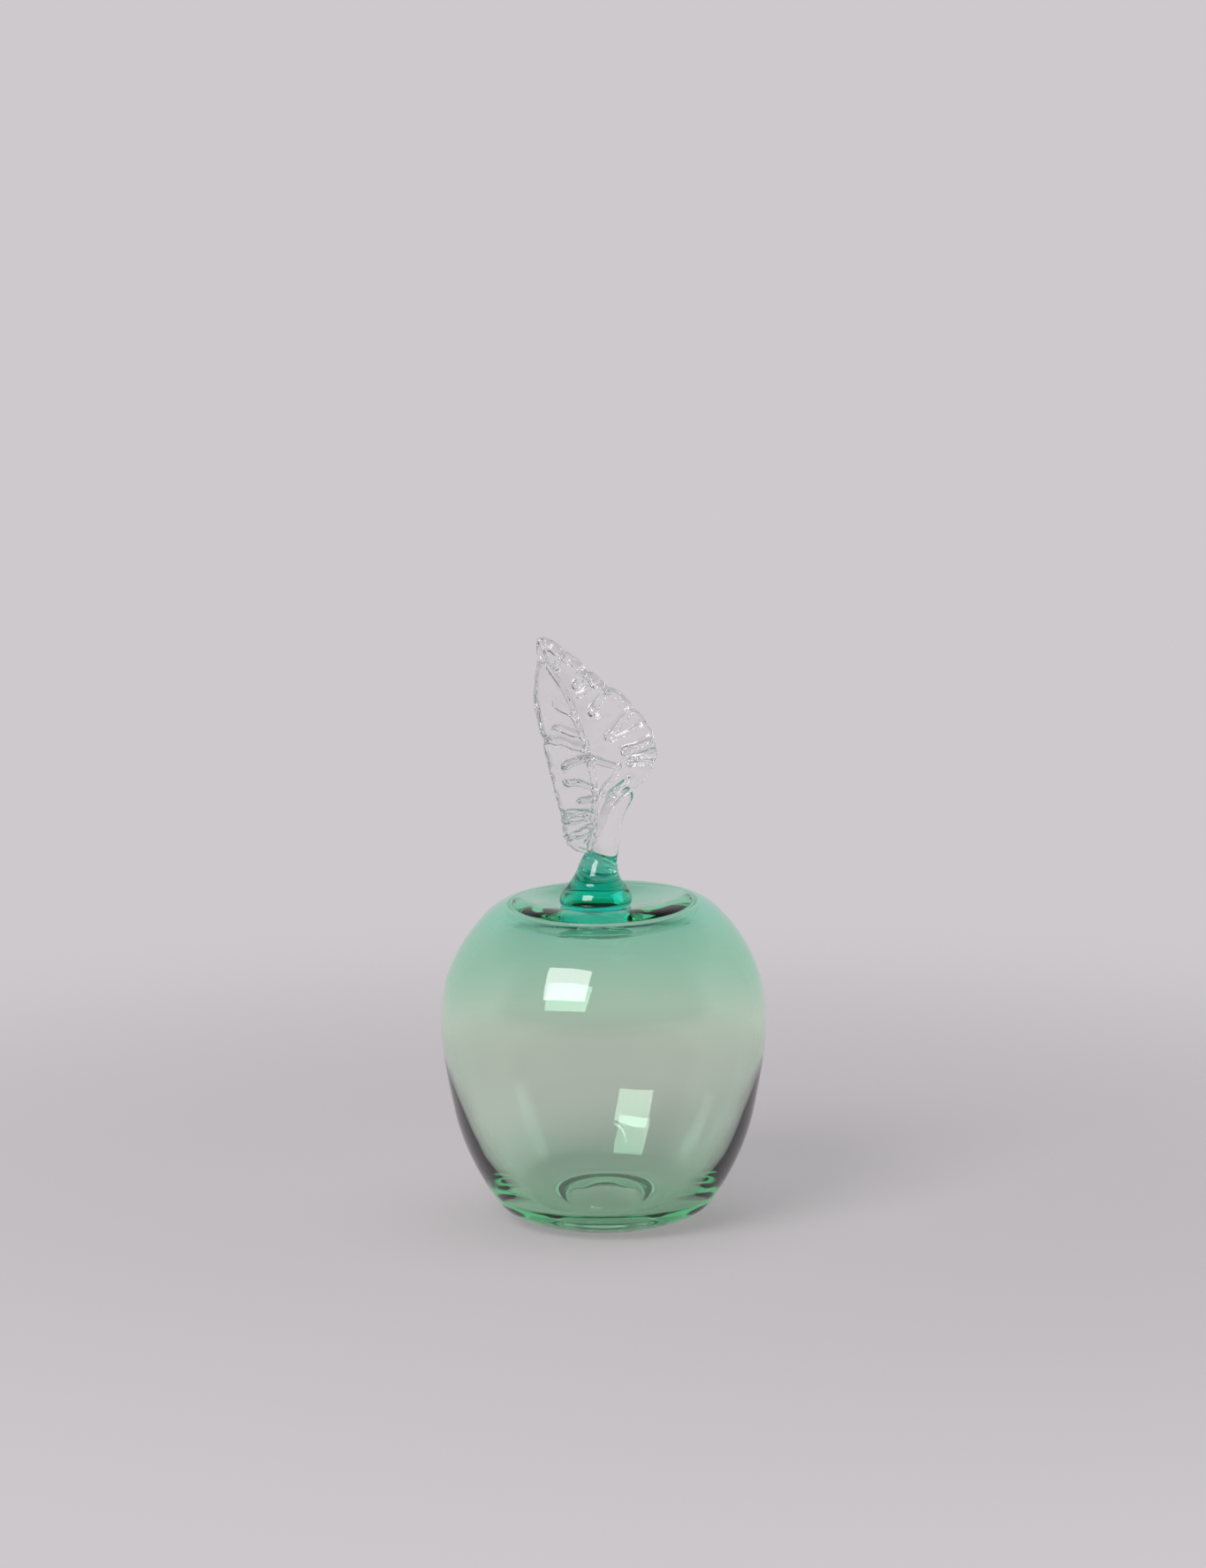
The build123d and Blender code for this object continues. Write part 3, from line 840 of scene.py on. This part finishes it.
def paper_sweep():
    """A sheet that lies under the piece and curves up behind it.

    It lies a hair under the foot ring, so that the ring's ground face lets the paper show through.
    """
    bm = bmesh.new()
    corners = [bm.verts.new((side * PAPER_HALF_WIDTH, PAPER_FRONT, -BITE)) for side in (-1, 1)]
    edge = [bm.edges.new(corners)]
    corners, edge = grown_end(bmesh.ops.extrude_edge_only(bm, edges=edge)["geom"])
    bmesh.ops.translate(bm, verts=corners, vec=(0, PAPER_BACK - PAPER_FRONT, 0))
    turned = bmesh.ops.spin(
        bm, geom=corners + edge, cent=(0, PAPER_BACK, PAPER_CURVE), axis=(1, 0, 0), angle=radians(90),
        steps=PAPER_STEPS,
    )
    corners, edge = grown_end(turned["geom_last"])
    corners, edge = grown_end(bmesh.ops.extrude_edge_only(bm, edges=edge)["geom"])
    bmesh.ops.translate(bm, verts=corners, vec=(0, 0, PAPER_RISE))
    bmesh.ops.recalc_face_normals(bm, faces=bm.faces)
    mesh = bpy.data.meshes.new("paper_sweep")
    bm.to_mesh(mesh)
    bm.free()
    mesh.materials.append(seamless_paper())
    mesh.shade_smooth()
    sweep = bpy.data.objects.new("paper_sweep", mesh)
    bpy.context.scene.collection.objects.link(sweep)


def dim_room():
    """The room round the stage: pale as the paper near the horizon, dim overhead and behind the camera."""
    world = bpy.data.worlds.new("Dim room")
    world.use_nodes = True
    tree = world.node_tree
    way = add_node(tree, "ShaderNodeTexCoord")
    axes = add_node(tree, "ShaderNodeSeparateXYZ", {}, {"Vector": way.outputs["Generated"]})
    overhead, above_floor, viewer_side = [
        add_node(
            tree, "ShaderNodeMapRange", {"From Min": begin, "From Max": full}, {"Value": axes.outputs[axis]},
            interpolation_type="SMOOTHSTEP",
        )
        for axis, begin, full in ROOM_ZONES
    ]
    behind = add_node(
        tree, "ShaderNodeMath", {}, {0: above_floor.outputs["Result"], 1: viewer_side.outputs["Result"]},
        operation="MULTIPLY",
    )
    upper = add_node(
        tree, "ShaderNodeMix", {MIX_A: linear(WALL_COLOUR), MIX_B: linear(OVERHEAD_COLOUR)},
        {MIX_SHARE: overhead.outputs["Result"]}, data_type="RGBA",
    )
    colour = add_node(
        tree, "ShaderNodeMix", {MIX_B: linear(BEHIND_COLOUR)},
        {MIX_SHARE: behind.outputs["Value"], MIX_A: upper.outputs[MIX_RESULT]}, data_type="RGBA",
    )
    tree.links.new(colour.outputs[MIX_RESULT], tree.nodes["Background"].inputs["Color"])
    return world


MIDDLE = Vector((0, 0, 0.1))  # what the lamps face


def lamp(name, place, size, power, colour, turn=0.0):
    """A rectangular soft lamp that faces the piece, turned a little in its own plane."""
    data = bpy.data.lights.new(name, "AREA")
    data.shape = "RECTANGLE"
    data.size, data.size_y = size
    data.energy = power
    data.color = linear(colour)[:3]
    thing = bpy.data.objects.new(name, data)
    bpy.context.scene.collection.objects.link(thing)
    thing.location = place
    aim = (MIDDLE - thing.location).to_track_quat("-Z", "Y").to_matrix()
    thing.rotation_euler = (aim @ Matrix.Rotation(radians(turn), 3, "Z")).to_euler()
    return thing


# Camera of the photograph: its place, its tilt and its lean, its focal length and the film it is given for
CAMERA_PLACE = (0.0007, -2.4745, 0.6045)
CAMERA_TILT, CAMERA_LEAN, CAMERA_LENS, FILM_WIDTH = 79.7, -0.62, 166.4, 36
CAMERA_NEAR, CAMERA_FAR = 0.05, 50
# The soft box as its reflections in the shoulder and in the back wall place it
SOFT_BOX_WAY, SOFT_BOX_AWAY = Vector((-0.421, -0.647, 0.636)), 1.6
SOFT_BOX_SIZE, SOFT_BOX_POWER, SOFT_BOX_COLOUR, SOFT_BOX_TURN = (0.84, 0.66), 16.0, "#FFFBFC", 6.5
# Soft light from the room's ceiling, which the glass neither mirrors nor shows
LIGHT_PLACE, LIGHT_SIZE, LIGHT_POWER, LIGHT_COLOUR = (0.2, -0.2, 3.2), (3.0, 3.0), 36.0, "#FBFBFF"


def view_camera():
    """A camera that stands where the photograph was taken."""
    data = bpy.data.cameras.new("view_camera")
    data.sensor_width = FILM_WIDTH
    data.lens = CAMERA_LENS
    data.clip_start, data.clip_end = CAMERA_NEAR, CAMERA_FAR
    camera = bpy.data.objects.new("view_camera", data)
    bpy.context.scene.collection.objects.link(camera)
    camera.location = CAMERA_PLACE
    lean = Matrix.Rotation(radians(CAMERA_LEAN), 3, "Z")
    camera.rotation_euler = (Matrix.Rotation(radians(CAMERA_TILT), 3, "X") @ lean).to_euler()
    return camera


class OBJECT_OT_light_stage(bpy.types.Operator):
    """Sets the stage: seamless paper, one soft box, a soft ceiling light and the camera"""

    bl_idname = "glass_apple.light_stage"
    bl_label = "Light the stage"

    def execute(self, context):
        paper_sweep()
        soft_box_place = MIDDLE + SOFT_BOX_AWAY * SOFT_BOX_WAY
        lamp("soft_box", soft_box_place, SOFT_BOX_SIZE, SOFT_BOX_POWER, SOFT_BOX_COLOUR, SOFT_BOX_TURN)
        ceiling = lamp("ceiling_light", LIGHT_PLACE, LIGHT_SIZE, LIGHT_POWER, LIGHT_COLOUR)
        ceiling.visible_glossy = False
        ceiling.visible_transmission = False
        context.scene.world = dim_room()
        context.scene.camera = view_camera()
        context.scene.view_settings.view_transform = "Standard"
        # Enough bounces for a ray to cross the body, the collar, the stem and the leaf
        cycles = context.scene.cycles
        cycles.max_bounces = 40
        cycles.transmission_bounces = 36
        cycles.glossy_bounces = 12
        cycles.transparent_max_bounces = 16
        return {"FINISHED"}


class VIEW3D_PT_glass_apple(bpy.types.Panel):
    """Lists the steps and the sizes of the glass apple"""

    bl_idname = "VIEW3D_PT_glass_apple"
    bl_label = "Glass Apple"
    bl_space_type = "VIEW_3D"
    bl_region_type = "UI"
    bl_category = "Glass Apple"

    def draw(self, context):
        for step in STEPS:
            self.layout.operator(step.bl_idname)
        for name, group in SETTINGS:
            box = self.layout.box()
            for field in group.__annotations__:
                box.prop(getattr(context.scene, name), field)


STEPS = [
    OBJECT_OT_blow_body,
    OBJECT_OT_draw_stem,
    OBJECT_OT_press_collar,
    OBJECT_OT_crimp_leaf,
    OBJECT_OT_light_stage,
]
SETTINGS = [
    ("apple_body_sizes", BodySizes),
    ("apple_collar_sizes", CollarSizes),
    ("apple_stem_sizes", StemSizes),
    ("apple_leaf_sizes", LeafSizes),
    ("apple_colours", GlassColours),
]


def register():
    for name, group in SETTINGS:
        bpy.utils.register_class(group)
        setattr(bpy.types.Scene, name, PointerProperty(type=group))
    for step in STEPS:
        bpy.utils.register_class(step)
    bpy.utils.register_class(VIEW3D_PT_glass_apple)


def unregister():
    bpy.utils.unregister_class(VIEW3D_PT_glass_apple)
    for step in reversed(STEPS):
        bpy.utils.unregister_class(step)
    for name, group in reversed(SETTINGS):
        delattr(bpy.types.Scene, name)
        bpy.utils.unregister_class(group)


def main():
    register()
    for step in STEPS:
        group, name = step.bl_idname.split(".")
        getattr(getattr(bpy.ops, group), name)()


if __name__ == "__main__":
    main()
